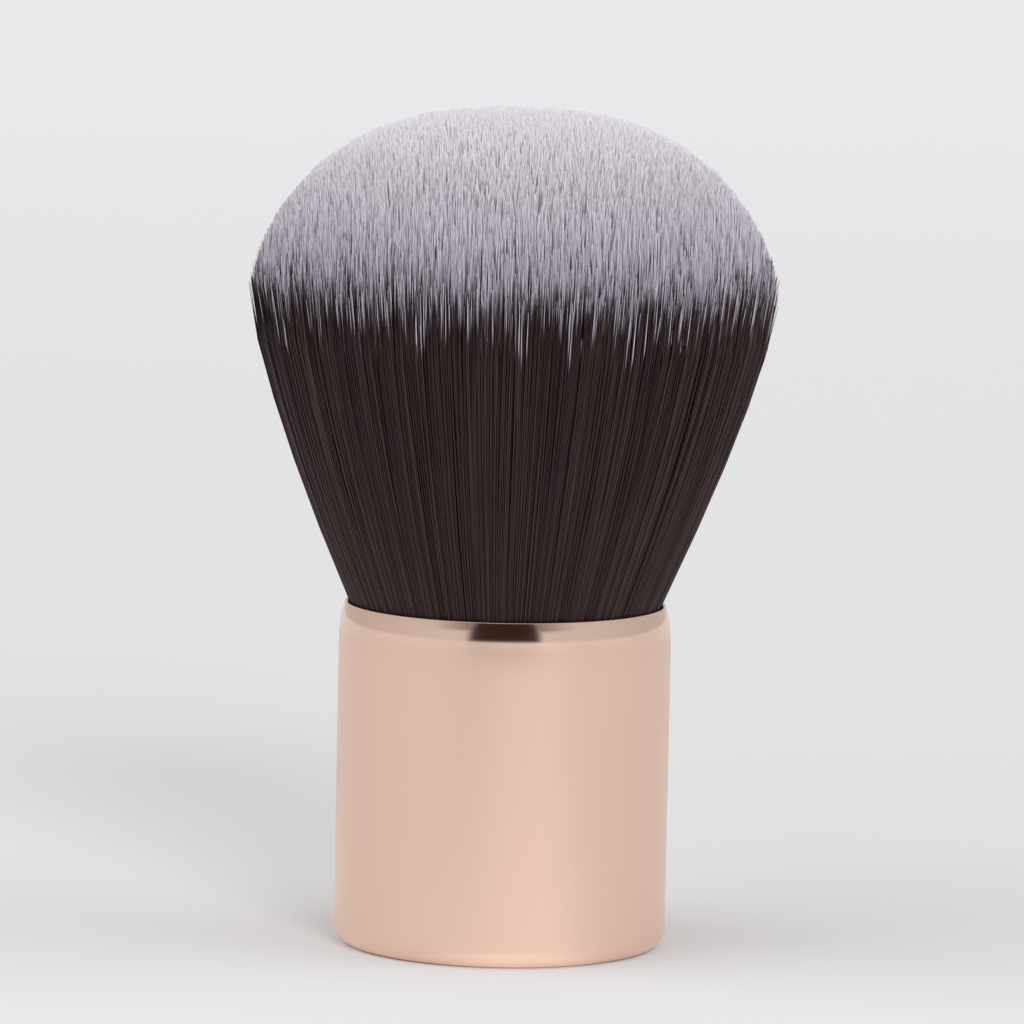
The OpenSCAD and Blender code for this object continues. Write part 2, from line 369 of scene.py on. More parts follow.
def rose_gold():
    """Satin rose gold metal, polished on the shoulder."""
    barrel = settings()[0]
    material, tree, principled = shader("rose_gold_metal")
    place = object_coordinates(tree)
    grain = noise(tree, place, scale=9000.0)
    cloud = noise(tree, place, scale=90.0, detail=3.0)
    cloud_shade, gloss_swing = 0.965, 0.02
    darker = tuple(cloud_shade * c for c in barrel.colour)
    tree.feed(principled.inputs["Base Color"], colour_mix(tree, cloud, darker, barrel.colour))
    principled.inputs["Metallic"].default_value = 1.0
    shoulder_z = MOUTH_Z - barrel.shoulder_height
    polish_start, polish_end = shoulder_z - 1.2 * MM, shoulder_z + 0.4 * MM
    polish = smooth_step(tree, tree.split(place)["Z"], polish_start, polish_end)
    satin = tree.lerp(cloud, barrel.satin_roughness - gloss_swing, barrel.satin_roughness + gloss_swing)
    tree.feed(principled.inputs["Roughness"], tree.lerp(polish, satin, barrel.polish_roughness))
    blasted = tree.math("MULTIPLY", grain, tree.math("SUBTRACT", 1.0, polish))
    bump(tree, principled, blasted, distance=0.001 * MM, strength=0.4)
    return material


def plain_finish(name, colour, roughness, grain_scale, depth, metallic=0.0):
    """A matt or glossy finish with a fine grain and slight clouds in its colour."""
    material, tree, principled = shader(name)
    place = object_coordinates(tree)
    cloud = noise(tree, place, scale=grain_scale / 6, detail=3.0)
    cloud_shade, gloss_swing = 0.92, 0.04
    darker = tuple(cloud_shade * c for c in colour)
    tree.feed(principled.inputs["Base Color"], colour_mix(tree, cloud, darker, colour))
    clouded = tree.lerp(cloud, roughness - gloss_swing, roughness + gloss_swing)
    tree.feed(principled.inputs["Roughness"], clouded)
    principled.inputs["Metallic"].default_value = metallic
    bump(tree, principled, noise(tree, place, grain_scale), depth, strength=0.5)
    return material


def turned_steel():
    """Steel with the fine rings of a lathe."""
    material, tree, principled = shader("steel_weight")
    place = object_coordinates(tree)
    flat = tree.vector("MULTIPLY", place, (1.0, 1.0, 0.0))
    radius = tree.node("ShaderNodeVectorMath", flat, operation="LENGTH").outputs["Value"]
    ring_pitch = 0.25 * MM
    rings = tree.math("SINE", tree.math("MULTIPLY", radius, 2 * math.pi / ring_pitch))
    ring_tone = tree.lerp(rings, 0.5, 0.62)
    steel = colour_mix(tree, ring_tone, (0.44, 0.45, 0.47), (0.58, 0.59, 0.61))
    tree.feed(principled.inputs["Base Color"], steel)
    principled.inputs["Metallic"].default_value = 1.0
    principled.inputs["Roughness"].default_value = 0.36
    bump(tree, principled, rings, distance=0.003 * MM, strength=0.5)
    return material


def wound_thread():
    """Thread whose plies slant across each turn."""
    material, tree, principled = shader("binding_thread")
    place = object_coordinates(tree)
    parts = tree.split(place)
    angle = tree.math("ARCTAN2", parts["Y"], parts["X"])
    plies_round, slant = 260.0, 9000.0
    lay = tree.math("MULTIPLY_ADD", angle, plies_round, tree.math("MULTIPLY", parts["Z"], slant))
    ply = tree.math("MULTIPLY_ADD", tree.math("SINE", lay), 0.5, 0.5)
    thread = colour_mix(tree, ply, (0.62, 0.58, 0.48), (0.80, 0.77, 0.68))
    tree.feed(principled.inputs["Base Color"], thread)
    principled.inputs["Roughness"].default_value = 0.8
    bump(tree, principled, ply, distance=0.04 * MM, strength=0.6)
    return material


# The fibres' map: a fibre's style across, its height up
STYLES = 128
FIBRE_MAP = "OFBake"
MAP_LOW_Z = ROOT_LOW.z - 0.5 * MM
MAP_HIGH_Z = HEAD_TOP_Z + 1.5 * MM

# A power of a number from 0 to 1 drawn for each fibre: the higher, the fewer fibres it reaches
HIGH_DARK_POWER = 5.0
LOW_PALE_POWER = 6.0
WARM_POWER = 2.5
SHORT_POWER = 8.0
LOOSE_POWER = 24.0


def bristle_fibre():
    """Dark brown fibre with a pale tip. Its style gives its tones and where its tip starts. The pale tip
    lightens with height up the dome, which is painted top light.
    """
    bristles = settings()[1]
    material, tree, principled = shader("bristle")
    uv = tree.node("ShaderNodeUVMap", uv_map=FIBRE_MAP).outputs["UV"]
    parts = tree.split(uv)
    style = tree.math("FLOOR", tree.math("MULTIPLY", parts["X"], float(STYLES)))
    height = tree.lerp(parts["Y"], MAP_LOW_Z, MAP_HIGH_Z)
    chance = tree.node("ShaderNodeTexWhiteNoise", noise_dimensions="1D")
    tree.feed(chance.inputs["W"], style)
    draws = tree.split(chance.outputs["Color"])
    swing = tree.math("MULTIPLY_ADD", draws["X"], 2.0, -1.0)
    start = tree.math("MULTIPLY_ADD", swing, bristles.tip_scatter, bristles.tip_start)
    upward = tree.math("POWER", tree.math("MAXIMUM", swing, 0.0), HIGH_DARK_POWER)
    drop = tree.math("MAXIMUM", tree.math("MULTIPLY", swing, -1.0), 0.0)
    downward = tree.math("POWER", drop, LOW_PALE_POWER)
    start = tree.math("MULTIPLY_ADD", upward, bristles.dark_reach, start)
    start = tree.math("MULTIPLY_ADD", downward, -bristles.pale_reach, start)
    fade = 1.2 * MM
    tip = smooth_step(tree, height, tree.math("SUBTRACT", start, fade), tree.math("ADD", start, fade))
    warmth = tree.math("POWER", draws["Y"], WARM_POWER)
    body = colour_mix(tree, warmth, bristles.dark, bristles.warm)
    # Painted top light: the pale tips lighten from the tip colour height up to the top of the dome, standing
    # in for light from above and through the fibres; the drawn share is the fibres' own tone
    painted_light_top_z = bristles.tip_start + bristles.painted_light_rise
    share_drawn = 0.15
    climb = tree.map_range(height, bristles.tip_start, painted_light_top_z, 0.0, 1 - share_drawn)
    tip_tone_with_painted_light = tree.math("MULTIPLY_ADD", draws["Z"], share_drawn, climb)
    point = colour_mix(tree, tip_tone_with_painted_light, bristles.pale, bristles.bright)
    tree.feed(principled.inputs["Base Color"], colour_mix(tree, tip, body, point))
    principled.inputs["Roughness"].default_value = 0.45
    principled.inputs["Specular IOR Level"].default_value = 0.25
    return material


# Meshes

def link_mesh(name, mesh, material):
    piece = bpy.data.objects.new(name, mesh)
    mesh.materials.clear()
    mesh.materials.append(material)
    bpy.context.scene.collection.objects.link(piece)
    return piece


def revolve(name, outline, material, steps=256, sharp_angle=math.radians(28)):
    """A closed solid of revolution about Z. Its outline leaves the axis, goes round and comes back to it."""
    mesh = bpy.data.meshes.new(name)
    work = bmesh.new()
    rings = []
    for radius, z in outline:
        if radius == 0:
            rings.append([work.verts.new((0, 0, z))])
            continue
        angles = [2 * math.pi * k / steps for k in range(steps)]
        rings.append([work.verts.new((radius * math.cos(a), radius * math.sin(a), z)) for a in angles])
    for below, above in zip(rings, rings[1:]):
        for k in range(steps):
            after = (k + 1) % steps
            if len(below) == 1:
                work.faces.new((below[0], above[after], above[k]))
            elif len(above) == 1:
                work.faces.new((below[k], below[after], above[0]))
            else:
                work.faces.new((below[k], below[after], above[after], above[k]))
    bmesh.ops.recalc_face_normals(work, faces=work.faces)
    work.to_mesh(mesh)
    work.free()
    mesh.polygons.foreach_set("use_smooth", [True] * len(mesh.polygons))
    mesh.set_sharp_from_angle(angle=sharp_angle)
    return link_mesh(name, mesh, material)


def arc(centre, radius, start, end, steps):
    """Points of an arc in the outline's plane, with angles in degrees from the radial direction."""
    centre_r, centre_z = centre
    points = []
    for k in range(steps + 1):
        angle = math.radians(start + (end - start) * k / steps)
        points.append((centre_r + radius * math.cos(angle), centre_z + radius * math.sin(angle)))
    return points


def barrel_outline(barrel):
    """Outline of the barrel: base, rounded edge, wall, rolled shoulder, mouth edge, bore and inner floor."""
    edge = barrel.base_edge_radius
    outside = [(0, 0), (0.5 * BARREL_R, 0)]
    outside += arc((BARREL_R - edge, edge), edge, start=-90, end=0, steps=14)
    shoulder_z = MOUTH_Z - barrel.shoulder_height
    ease_z = shoulder_z - barrel.ease_height
    wall_rings, above_edge = 10, 0.04 * MM
    for k in range(wall_rings):
        climb = k / wall_rings
        outside.append((BARREL_R, edge + above_edge + (ease_z - edge) * climb))
    lean = 0.5 * barrel.ease_height * math.tan(barrel.ease_turn)
    ease_rings = 12
    for k in range(ease_rings):
        climb = k / ease_rings
        outside.append((BARREL_R - lean * climb ** 2, ease_z + barrel.ease_height * climb))
    radius = barrel.shoulder_radius
    centre = (
        BARREL_R - lean - radius * math.cos(barrel.ease_turn),
        shoulder_z - radius * math.sin(barrel.ease_turn))
    mouth_turn = math.asin((MOUTH_Z - centre[1]) / radius)
    outside += arc(
        centre, radius, start=math.degrees(barrel.ease_turn), end=math.degrees(mouth_turn), steps=16)
    mouth_r = outside[-1][0]
    lip_r = 0.4 * barrel.mouth_edge
    outside[-1] = (mouth_r + 0.25 * lip_r, MOUTH_Z - 0.6 * lip_r)
    outside += arc((mouth_r - 0.7 * lip_r, MOUTH_Z - lip_r), lip_r, start=60, end=90, steps=4)
    inner_mouth = mouth_r - barrel.mouth_edge
    bore = BARREL_R - barrel.wall
    inner_corner = 0.6 * MM
    inside = arc((inner_mouth + lip_r, MOUTH_Z - lip_r), lip_r, start=100, end=180, steps=4)
    inside += [(bore, MOUTH_Z - 1.0 * MM), (bore, 0.5 * MOUTH_Z)]
    floor_corner = (bore - inner_corner, barrel.base_thickness + inner_corner)
    inside += arc(floor_corner, inner_corner, start=0, end=-90, steps=5)
    inside.append((0, barrel.base_thickness))
    return outside + inside


# Fibres, by geometry nodes

FIBRE_INPUTS = (
    ("Fibres", "NodeSocketInt"),
    ("Points", "NodeSocketInt"),
    ("Inner Share", "NodeSocketFloat"),
    ("Outer Share", "NodeSocketFloat"),
    ("Fibre Radius", "NodeSocketFloat"),
    ("Root Height", "NodeSocketFloat"),
    ("Mouth Height", "NodeSocketFloat"),
    ("Wide Height", "NodeSocketFloat"),
    ("Top Height", "NodeSocketFloat"),
    ("Root Radius", "NodeSocketFloat"),
    ("Mouth Radius", "NodeSocketFloat"),
    ("Head Radius", "NodeSocketFloat"),
    ("Flare Bend", "NodeSocketFloat"),
    ("Dome Flatness", "NodeSocketFloat"),
    ("Dome Steepness", "NodeSocketFloat"),
    ("Tip Inset", "NodeSocketFloat"),
    ("Tip Spread", "NodeSocketFloat"),
    ("Tip Thickness", "NodeSocketFloat"),
    ("Lock Size", "NodeSocketFloat"),
    ("Lock Pull", "NodeSocketFloat"),
    ("Stray", "NodeSocketFloat"),
    ("Lean", "NodeSocketFloat"),
    ("Seed", "NodeSocketInt"),
    ("Material", "NodeSocketMaterial"),
)
GOLDEN_ANGLE = math.pi * (3 - math.sqrt(5))


class FibreTree(Tree):
    """The geometry tree of one layer of fibres, with the fields that its steps share."""

    def chance(self, salt):
        """A number from 0 to 1 for each fibre."""
        node = self.node("FunctionNodeRandomValue", data_type="FLOAT")
        self.feed(node.inputs["Seed"], self.math("ADD", self.given["Seed"], float(salt)))
        return node.outputs[1]

    def keep(self, geometry, name, value, domain="POINT", data_type="FLOAT"):
        node = self.node("GeometryNodeStoreNamedAttribute", data_type=data_type, domain=domain)
        self.feed(node.inputs["Geometry"], geometry)
        self.feed(node.inputs["Name"], name)
        self.feed(node.inputs["Value"], value)
        return node.outputs["Geometry"]

    def kept(self, name):
        node = self.node("GeometryNodeInputNamedAttribute", data_type="FLOAT")
        node.inputs["Name"].default_value = name
        return node.outputs["Attribute"]

    def bundle_radius(self, height):
        """Radius of the bundle at a height: up the handle, along the flare and straight above it."""
        given = self.given
        in_handle = self.map_range(
            height, given["Root Height"], given["Mouth Height"], given["Root Radius"], given["Mouth Radius"])
        left = self.map_range(height, given["Mouth Height"], given["Wide Height"], 1.0, 0.0)
        narrower = self.math("POWER", left, given["Flare Bend"])
        flare = self.lerp(narrower, given["Head Radius"], given["Mouth Radius"])
        inside = self.math("LESS_THAN", height, given["Mouth Height"])
        return self.lerp(inside, flare, in_handle)

    def dome_height(self, share):
        given = self.given
        flat = self.math("SUBTRACT", 1.0, self.math("POWER", share, given["Dome Flatness"]))
        bend = self.math("DIVIDE", 1.0, given["Dome Steepness"])
        rise = self.math("POWER", self.math("MAXIMUM", flat, 0.0), bend)
        return self.lerp(rise, given["Wide Height"], given["Top Height"])


def fibre_tree():
    """Points spread over the bundle, a line on each, bent along the flare and made a three-sided fibre."""
    group = bpy.data.node_groups.new("Fibre layer", "GeometryNodeTree")
    for name, kind in FIBRE_INPUTS:
        group.interface.new_socket(name, in_out="INPUT", socket_type=kind)
    group.interface.new_socket("Geometry", in_out="OUTPUT", socket_type="NodeSocketGeometry")
    tree = FibreTree(group)
    given = tree.given = tree.node("NodeGroupInput").outputs

    # Where each fibre stands, how long it is and what style it has
    index = tree.node("GeometryNodeInputIndex").outputs[0]
    order = tree.math("DIVIDE", tree.math("ADD", index, tree.chance(1)), given["Fibres"])
    inner_area = tree.math("POWER", given["Inner Share"], 2.0)
    outer_area = tree.math("POWER", given["Outer Share"], 2.0)
    share = tree.math("SQRT", tree.lerp(order, inner_area, outer_area))
    spread = tree.math("MULTIPLY", tree.chance(2), 0.5)
    turn = tree.math("ADD", tree.math("MULTIPLY", index, GOLDEN_ANGLE), spread)
    inset = tree.math("MULTIPLY", tree.math("POWER", tree.chance(3), SHORT_POWER), given["Tip Inset"])
    spread_height = tree.math("MULTIPLY", tree.math("SUBTRACT", tree.chance(7), 0.5), given["Tip Spread"])
    tip = tree.math("ADD", tree.math("SUBTRACT", tree.dome_height(share), inset), spread_height)
    style = tree.math("FLOOR", tree.math("MULTIPLY", tree.chance(4), float(STYLES)))
    points = tree.node("GeometryNodePoints", given["Fibres"]).outputs[0]
    for name, value in (("share", share), ("turn", turn), ("tip", tip), ("style", style),
                        ("stray_x", tree.chance(5)), ("stray_y", tree.chance(6)), ("loose", tree.chance(8))):
        points = tree.keep(points, name, value)

    # A line of points on each, one unit long
    line = tree.node("GeometryNodeCurvePrimitiveLine").outputs[0]
    line = tree.node("GeometryNodeResampleCurve", line)
    tree.feed(line.inputs["Count"], given["Points"])
    last = tree.math("SUBTRACT", given["Points"], 1.0)
    step = tree.node("GeometryNodeSplineParameter").outputs["Index"]
    line = tree.keep(line.outputs[0], "step", step)
    stands = tree.node("GeometryNodeInstanceOnPoints", points)
    tree.feed(stands.inputs["Instance"], line)
    fibres = tree.node("GeometryNodeRealizeInstances", stands.outputs[0]).outputs[0]

    # Bend them: root, mouth, then steps along the flare to the tip.
    # A fibre of three points has no bend at the mouth.
    share, turn, step = tree.kept("share"), tree.kept("turn"), tree.kept("step")
    bend = tree.math("GREATER_THAN", last, 2.5)
    climb = tree.math("DIVIDE", tree.math("SUBTRACT", step, bend), tree.math("SUBTRACT", last, bend))
    climb = tree.math("MAXIMUM", climb, 0.0)
    at_root = tree.math("LESS_THAN", step, 0.5)
    foot = tree.lerp(bend, given["Root Height"], given["Mouth Height"])
    eased_climb = tree.math("POWER", climb, 0.88)
    height = tree.lerp(eased_climb, foot, tree.kept("tip"))
    height = tree.lerp(at_root, height, given["Root Height"])
    radius = tree.math("MULTIPLY", share, tree.bundle_radius(height))
    direction = tree.combine(tree.math("COSINE", turn), tree.math("SINE", turn), 0.0)
    stand = tree.scale(direction, radius)
    root_radius = tree.math("MULTIPLY", share, given["Root Radius"])
    root_place = tree.scale(direction, tree.math("DIVIDE", root_radius, given["Lock Size"]))
    lock_noise = tree.node("ShaderNodeTexNoise", root_place)
    lock_noise.inputs["Scale"].default_value = 1.0
    lock_noise.inputs["Detail"].default_value = 1.0
    pull = tree.vector("SUBTRACT", lock_noise.outputs["Color"], (0.5, 0.5, 0.5))
    pull = tree.scale(pull, tree.math("MULTIPLY", given["Lock Pull"], 2.0))
    stray_x = tree.math("SUBTRACT", tree.kept("stray_x"), 0.5)
    stray_y = tree.math("SUBTRACT", tree.kept("stray_y"), 0.5)
    stray = tree.combine(stray_x, stray_y, 0.0)
    loosest = 1.2
    loose = tree.math("MULTIPLY_ADD", tree.math("POWER", tree.kept("loose"), LOOSE_POWER), loosest, 1.0)
    reach = tree.math("MULTIPLY", tree.math("MULTIPLY", loose, 2.0), given["Stray"])
    sway = tree.vector("ADD", pull, tree.scale(stray, reach))
    sway = tree.vector("MULTIPLY", sway, (1.0, 1.0, 0.0))
    late_climb = tree.math("POWER", climb, 1.5)
    place = tree.vector("ADD", stand, tree.scale(sway, late_climb))
    leaning = smooth_step(tree, height, given["Mouth Height"], given["Wide Height"])
    lean = tree.math("MULTIPLY", leaning, given["Lean"])
    place = tree.vector("ADD", place, tree.combine(lean, 0.0, height))
    fibres = tree.node("GeometryNodeSetPosition", fibres)
    tree.feed(fibres.inputs["Position"], place)

    # Thickness, with a tapered tip, and each fibre turned its own way
    taper_start = 0.8
    taper = tree.map_range(climb, taper_start, 1.0, 1.0, given["Tip Thickness"])
    section = tree.node("GeometryNodeCurvePrimitiveCircle", mode="RADIUS")
    section.inputs["Resolution"].default_value = 3
    section.inputs["Radius"].default_value = 1.0
    side = tree.node("GeometryNodeInputIndex").outputs[0]
    section = tree.keep(section.outputs[0], "side", side)
    turned = tree.node("GeometryNodeSetCurveTilt", fibres.outputs[0])
    tree.feed(turned.inputs["Tilt"], tree.math("MULTIPLY", tree.kept("stray_x"), 2 * math.pi))
    solid = tree.node("GeometryNodeCurveToMesh", turned.outputs[0], section)
    tree.feed(solid.inputs["Scale"], tree.math("MULTIPLY", taper, given["Fibre Radius"]))
    solid.inputs["Fill Caps"].default_value = True

    # The map: the style across, the height up
    quarter = 0.25
    across = tree.math("MULTIPLY_ADD", tree.kept("side"), quarter, quarter)
    across = tree.math("DIVIDE", tree.math("ADD", tree.kept("style"), across), float(STYLES))
    level = tree.split(tree.node("GeometryNodeInputPosition").outputs[0])["Z"]
    up = tree.map_range(level, MAP_LOW_Z, MAP_HIGH_Z, 0.0, 1.0)
    mapped = tree.keep(solid.outputs[0], FIBRE_MAP, tree.combine(across, up, 0.0), "CORNER", "FLOAT2")
    smooth = tree.node("GeometryNodeSetShadeSmooth", mapped).outputs[0]
    real = tree.node("GeometryNodeRealizeInstances", smooth).outputs[0]
    finished = tree.node("GeometryNodeSetMaterial", real)
    tree.feed(finished.inputs["Material"], given["Material"])
    tree.node("NodeGroupOutput", finished.outputs[0])
    return group


def fibre_layer(name, tree, values):
    """Runs the tree with these values and keeps its result as a plain mesh."""
    holder = bpy.data.objects.new(name + "_nodes", bpy.data.meshes.new(name + "_nodes"))
    bpy.context.scene.collection.objects.link(holder)
    modifier = holder.modifiers.new("Fibres", "NODES")
    modifier.node_group = tree
    for socket in tree.interface.items_tree:
        if socket.in_out == "INPUT":
            modifier[socket.identifier] = values[socket.name]
    holder.update_tag()
    graph = bpy.context.evaluated_depsgraph_get()
    mesh = bpy.data.meshes.new_from_object(holder.evaluated_get(graph))
    holder.modifiers.remove(modifier)
    bpy.data.objects.remove(holder)
    if len(mesh.polygons) == 0:
        raise RuntimeError(name + " came out empty")
    mesh.name = name
    for attribute in ("share", "turn", "tip", "style", "stray_x", "stray_y", "loose", "step", "side"):
        if attribute in mesh.attributes:
            mesh.attributes.remove(mesh.attributes[attribute])
    return link_mesh(name, mesh, values["Material"])


# Operators

class KABUKI_OT_barrel(bpy.types.Operator):
    """Make the satin rose gold barrel with its rolled, polished mouth"""
    bl_idname = "kabuki.barrel"
    bl_label = "Barrel"

    def execute(self, context):
        barrel = settings()[0]
        piece = revolve("barrel", barrel_outline(barrel), rose_gold())
        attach(piece, "root")
        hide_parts("handle_shell")
        return {"FINISHED"}


class KABUKI_OT_bristles(bpy.types.Operator):
    """Make the bristle head, layer by layer from the outside in, and the resin-soaked root that holds it"""
    bl_idname = "kabuki.bristles"
    bl_label = "Bristle head"

    def execute(self, context):
        bristles = settings()[1]
        material = bristle_fibre()
        tree = fibre_tree()
        counts = bristles.outer_layers * [bristles.outer_fibres]
        counts += bristles.inner_layers * [bristles.inner_fibres]
        values = {
            "Root Height": 0.5 * (ROOT_LOW.z + BINDING_HIGH.z),
            "Mouth Height": MOUTH_Z,
            "Wide Height": MOUTH_Z + bristles.wide_height,
            "Top Height": HEAD_TOP_Z - bristles.tip_spread / 2,
            "Root Radius": bristles.root_radius,
            "Mouth Radius": bristles.mouth_radius,
            "Head Radius": bristles.head_radius,
            "Flare Bend": bristles.flare_bend,
            "Dome Flatness": bristles.dome_flatness,
            "Dome Steepness": bristles.dome_steepness,
            "Tip Inset": bristles.tip_inset,
            "Tip Spread": 2 * bristles.tip_spread,
            "Tip Thickness": bristles.tip_thickness,
            "Lock Size": bristles.lock_size,
            "Lock Pull": bristles.lock_pull,
            "Stray": bristles.stray,
            "Lean": bristles.lean,
            "Material": material,
        }
        for layer, count in enumerate(counts):
            outer = layer < bristles.outer_layers
            values["Fibres"] = count
            values["Points"] = bristles.outer_points if outer else bristles.inner_points
            values["Fibre Radius"] = bristles.fibre_radius if outer else bristles.inner_fibre_radius
            values["Outer Share"] = math.sqrt(sum(counts[layer:]) / sum(counts))
            values["Inner Share"] = math.sqrt(sum(counts[layer + 1:]) / sum(counts))
            values["Seed"] = bristles.seed + 100 * layer
            piece = fibre_layer(f"bristle_layer_{layer + 1}", tree, values)
            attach(piece, "root")
            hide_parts("bristles_outer", "bristles_middle", "bristles_inner")
        self.root(bristles)
        return {"FINISHED"}

    def root(self, bristles):
        """The resin-soaked root, a low disc inside the binding."""
        edge, gap, thickness = 0.2 * MM, 0.5 * MM, 3.0 * MM
        radius = -BINDING_LOW.x - gap
        low, high = ROOT_LOW.z, ROOT_LOW.z + thickness
        outline = [(0, low), (radius - edge, low), (radius, low + edge), (radius, high - edge),
                   (radius - edge, high), (0, high)]
        resin = plain_finish("soaked_root", (0.10, 0.07, 0.05), 0.3, 900.0, 0.05 * MM)
        piece = revolve("bristle_root", outline, resin, steps=96)
        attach(piece, "root")
        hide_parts("bristles_outer", "bristles_middle", "bristles_inner")


class KABUKI_OT_inner_parts(bpy.types.Operator):
    """Give the parts inside the barrel their finishes"""
    bl_idname = "kabuki.inner_parts"
    bl_label = "Inner parts"

    def execute(self, context):
        adhesive = plain_finish("adhesive", (0.62, 0.54, 0.30), 0.25, 700.0, 0.02 * MM)
        finishes = {
            "base_tape": plain_finish("foam_tape", (0.78, 0.78, 0.75), 0.85, 3000.0, 0.05 * MM),
            "base_weight": turned_steel(),
            "handle_core": plain_finish("moulded_core", (0.02, 0.02, 0.022), 0.5, 2500.0, 0.02 * MM),
            "core_adhesive": adhesive,
            "rim_adhesive": adhesive,
            "knot_cup": plain_finish("cup_metal", (0.70, 0.70, 0.72), 0.34, 1800.0, 0.004 * MM, metallic=1.0),
            "resin_plug": plain_finish("resin", (0.50, 0.36, 0.14), 0.15, 500.0, 0.02 * MM),
            "knot_binding": wound_thread(),
        }
        for name, material in finishes.items():
            for material_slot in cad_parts[name].material_slots:
                material_slot.material = material
        return {"FINISHED"}


class KABUKI_OT_studio(bpy.types.Operator):
    """Set up the pale floor, the soft light and the camera"""
    bl_idname = "kabuki.studio"
    bl_label = "Studio"

    def execute(self, context):
        studio = settings()[2]
        self.floor(studio)
        self.light(studio)
        self.camera(studio)
        bpy.context.scene.view_settings.view_transform = "Standard"
        return {"FINISHED"}

    def floor(self, studio):
        material, tree, principled = shader("paper_floor")
        place = object_coordinates(tree)
        # Painted light on the floor: a lighter pool in front of the brush, and lighter floor far behind it
        # than round the brush
        depth = tree.split(place)["Y"]
        far_start, far_end = 0.3, 1.6
        near_start, near_end = 0.12, -0.04
        far_light = smooth_step(tree, depth, far_start, far_end)
        front_light_pool = smooth_step(tree, depth, near_start, near_end)
        colour = colour_mix(tree, far_light, studio.floor_colour, studio.far_floor_painted_light)
        colour = colour_mix(tree, front_light_pool, colour, studio.near_floor_painted_light)
        darkest_cloud = 0.985
        clouds = tree.map_range(noise(tree, place, scale=3.0, detail=1.0), 0.0, 1.0, darkest_cloud, 1.0)
        tree.feed(principled.inputs["Base Color"], tree.scale(colour, clouds))
        # Painted highlight: the floor's glow, which only mirror rays see
        tree.feed(principled.inputs["Emission Strength"], self.floor_mirror_glow(tree, place, studio))
        principled.inputs["Emission Color"].default_value = (1.0, 0.99, 0.98, 1.0)
        principled.inputs["Roughness"].default_value = 1.0
        principled.inputs["Specular IOR Level"].default_value = 0.0
        half = studio.floor_size / 2
        mesh = bpy.data.meshes.new("floor")
        corners = [(-half, -half, 0), (half, -half, 0), (half, half, 0), (-half, half, 0)]
        mesh.from_pydata(corners, [], [(0, 1, 2, 3)])
        floor = link_mesh("floor", mesh, material)

    def floor_mirror_glow(self, tree, place, studio):
        """Painted highlight: the floor glows, though it is no lamp, and only mirrors see it: a wedge of floor
        in front of the brush, and a ring round its foot, which the barrel shows as lighter reflections.
        """
        wedge_turn, wedge_edge, wedge_core = math.radians(9), math.radians(46), math.radians(4)
        turn = self.turn_right(tree, tree.split(place))
        off = tree.math("ABSOLUTE", tree.math("SUBTRACT", turn, wedge_turn))
        wedge = tree.math("MULTIPLY", smooth_step(tree, off, wedge_edge, wedge_core), studio.mirror_glow)
        ring_edge, ring_core = 0.11, 0.02
        away = tree.node("ShaderNodeVectorMath", place, operation="LENGTH").outputs["Value"]
        ring = tree.math("MULTIPLY", smooth_step(tree, away, ring_edge, ring_core), studio.foot_mirror_glow)
        mirrored = tree.node("ShaderNodeLightPath").outputs["Is Glossy Ray"]
        return tree.math("MULTIPLY", tree.math("ADD", wedge, ring), mirrored)

    def turn_right(self, tree, parts):
        """The angle round Z of a direction, from the front to the right."""
        return tree.math("ARCTAN2", parts["X"], tree.math("MULTIPLY", parts["Y"], -1.0))

    def light(self, studio):
        world = bpy.data.worlds.new("Studio surround")
        world.use_nodes = True
        tree = Tree(world.node_tree)
        background = next(n for n in world.node_tree.nodes if n.type == "BACKGROUND")
        direction = tree.node("ShaderNodeTexCoord").outputs["Generated"]
        parts = tree.split(direction)
        back_end, front_end = 0.7, -0.9
        ahead = smooth_step(tree, parts["Y"], back_end, front_end)
        around = colour_mix(tree, ahead, studio.back_colour, studio.front_colour)
        glow_rise, glow_edge = 0.1, 0.90
        towards_glow = (math.sin(studio.glow_turn), -math.cos(studio.glow_turn), glow_rise)
        facing = tree.node("ShaderNodeVectorMath", direction, towards_glow, operation="DOT_PRODUCT")
        glow = smooth_step(tree, facing.outputs["Value"], glow_edge, 1.0)
        brighter = tuple((1 + studio.glow_strength) * c for c in studio.front_colour)
        around = colour_mix(tree, glow, around, brighter)
        top_start, top_end = 0.35, 0.95
        overhead = smooth_step(tree, parts["Z"], top_start, top_end)
        light = colour_mix(tree, overhead, around, studio.top_colour)
        # Painted reflection: the dark patch is shown to mirror rays only
        mirrored = tree.node("ShaderNodeLightPath").outputs["Is Glossy Ray"]
        painted_dark_reflection = tree.math("MULTIPLY", self.mirrored_dark_patch(tree, parts, studio), mirrored)
        dark_reflection_colour = (0.035, 0.02, 0.017)
        tree.feed(background.inputs["Color"], colour_mix(tree, painted_dark_reflection, light, dark_reflection_colour))
        background.inputs["Strength"].default_value = 1.0
        bpy.context.scene.world = world
        self.lamp("key", studio.key_strength, angle=22, turn=18, height=28)
        self.lamp("fill", studio.fill_strength, angle=50, turn=-38, height=30)
        self.lamp("left", studio.left_strength, angle=64, turn=-82, height=27)
        self.lamp("right", studio.right_strength, angle=64, turn=84, height=27)

    def lamp(self, name, strength, angle, turn, height):
        """A soft light from far away: how wide it looks, its turn to the camera's right and its height."""
        lamp = bpy.data.lights.new(name, "SUN")
        lamp.energy = strength
        lamp.angle = math.radians(angle)
        turn, height = math.radians(turn), math.radians(height)
        level = math.cos(height)
        towards = Vector((math.sin(turn) * level, -math.cos(turn) * level, math.sin(height)))
        holder = bpy.data.objects.new(name, lamp)
        holder.matrix_world = towards.to_track_quat("Z", "Y").to_matrix().to_4x4()
        holder.visible_glossy = False
        bpy.context.scene.collection.objects.link(holder)

